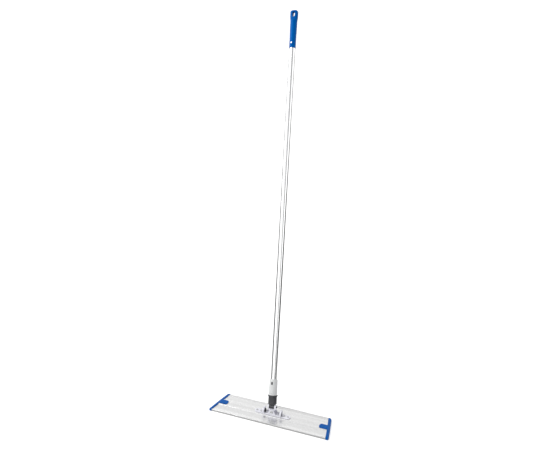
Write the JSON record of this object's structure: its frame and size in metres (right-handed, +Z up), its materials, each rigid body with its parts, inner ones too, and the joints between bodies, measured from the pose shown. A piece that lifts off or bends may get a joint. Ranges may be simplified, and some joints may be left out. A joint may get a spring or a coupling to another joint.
{
  "type": "flat mop",
  "caption": "Flat mop with an aluminium hook-strip frame, blue end caps, a crossed-pin swivel joint and a long quick-release tube handle with a hanging eye.",
  "frame": {"origin": "on the floor under the middle of the frame, on the face of the middle hook strip", "axes": "+X along the frame, +Y towards its shorter back edge, +Z up from the floor"},
  "size_m": [0.4748, 0.6371, 1.428],
  "materials": {
    "anodised_aluminium": "satin anodised extrusion",
    "tube_aluminium": "bright drawn tube",
    "blue_plastic": "satin moulded",
    "pale_plastic": "moulded",
    "grey_plastic": "moulded",
    "ferrule_plastic": "moulded",
    "white_plastic": "moulded",
    "hook_tape": "moulded hooks",
    "stop_rubber": "matt",
    "dark_pin": "blackened",
    "steel": "plated"
  },
  "bodies": {
    "handle": {"coupling": "grey_plastic", "button_spring": "steel", "ferrule_ring": "white_plastic", "ferrule": "ferrule_plastic", "ferrule_rivet": "steel", "handle_tube": "tube_aluminium", "grip": "blue_plastic", "grip_rivet": "steel"},
    "release_button": {"release_button": "grey_plastic"},
    "knuckle": {"knuckle": "pale_plastic", "pitch_pin": "dark_pin", "pitch_pin_clip": "dark_pin"},
    "head": {"frame_plate": "anodised_aluminium", "end_cap_right": "blue_plastic", "end_cap_left": "blue_plastic", "cap_screw_right": "steel", "cap_screw_left": "steel", "hook_strip_front": "hook_tape", "hook_strip_middle": "hook_tape", "hook_strip_back": "hook_tape", "swivel_base": "pale_plastic", "roll_stop_right": "stop_rubber", "roll_stop_left": "stop_rubber", "base_rivet_1": "steel", "base_rivet_2": "steel", "base_rivet_3": "steel", "base_rivet_4": "steel", "roll_pin": "steel", "roll_pin_clip": "steel", "thrust_washer_front": "white_plastic", "thrust_washer_back": "white_plastic"}
  },
  "joints": [
    {"name": "pitch", "type": "hinge", "parent": "handle", "child": "knuckle", "pos_m": [-0.00162, 0, 0.04092], "axis": [0.9949, 0, 0.1011], "range_deg": [-102.3, 57.7]},
    {"name": "roll", "type": "hinge", "parent": "knuckle", "child": "head", "pos_m": [0, 0, 0.025], "axis": [0, 1, 0], "range_deg": [-50.8, 39.2]},
    {"name": "button_press", "type": "slide", "parent": "handle", "child": "release_button", "axis": [0.0383, 0.9252, -0.3775], "range_m": [0, 0.0062], "stiffness_N_per_m": 500, "springref_m": -0.004, "deforming": ["button_spring"]}
  ]
}
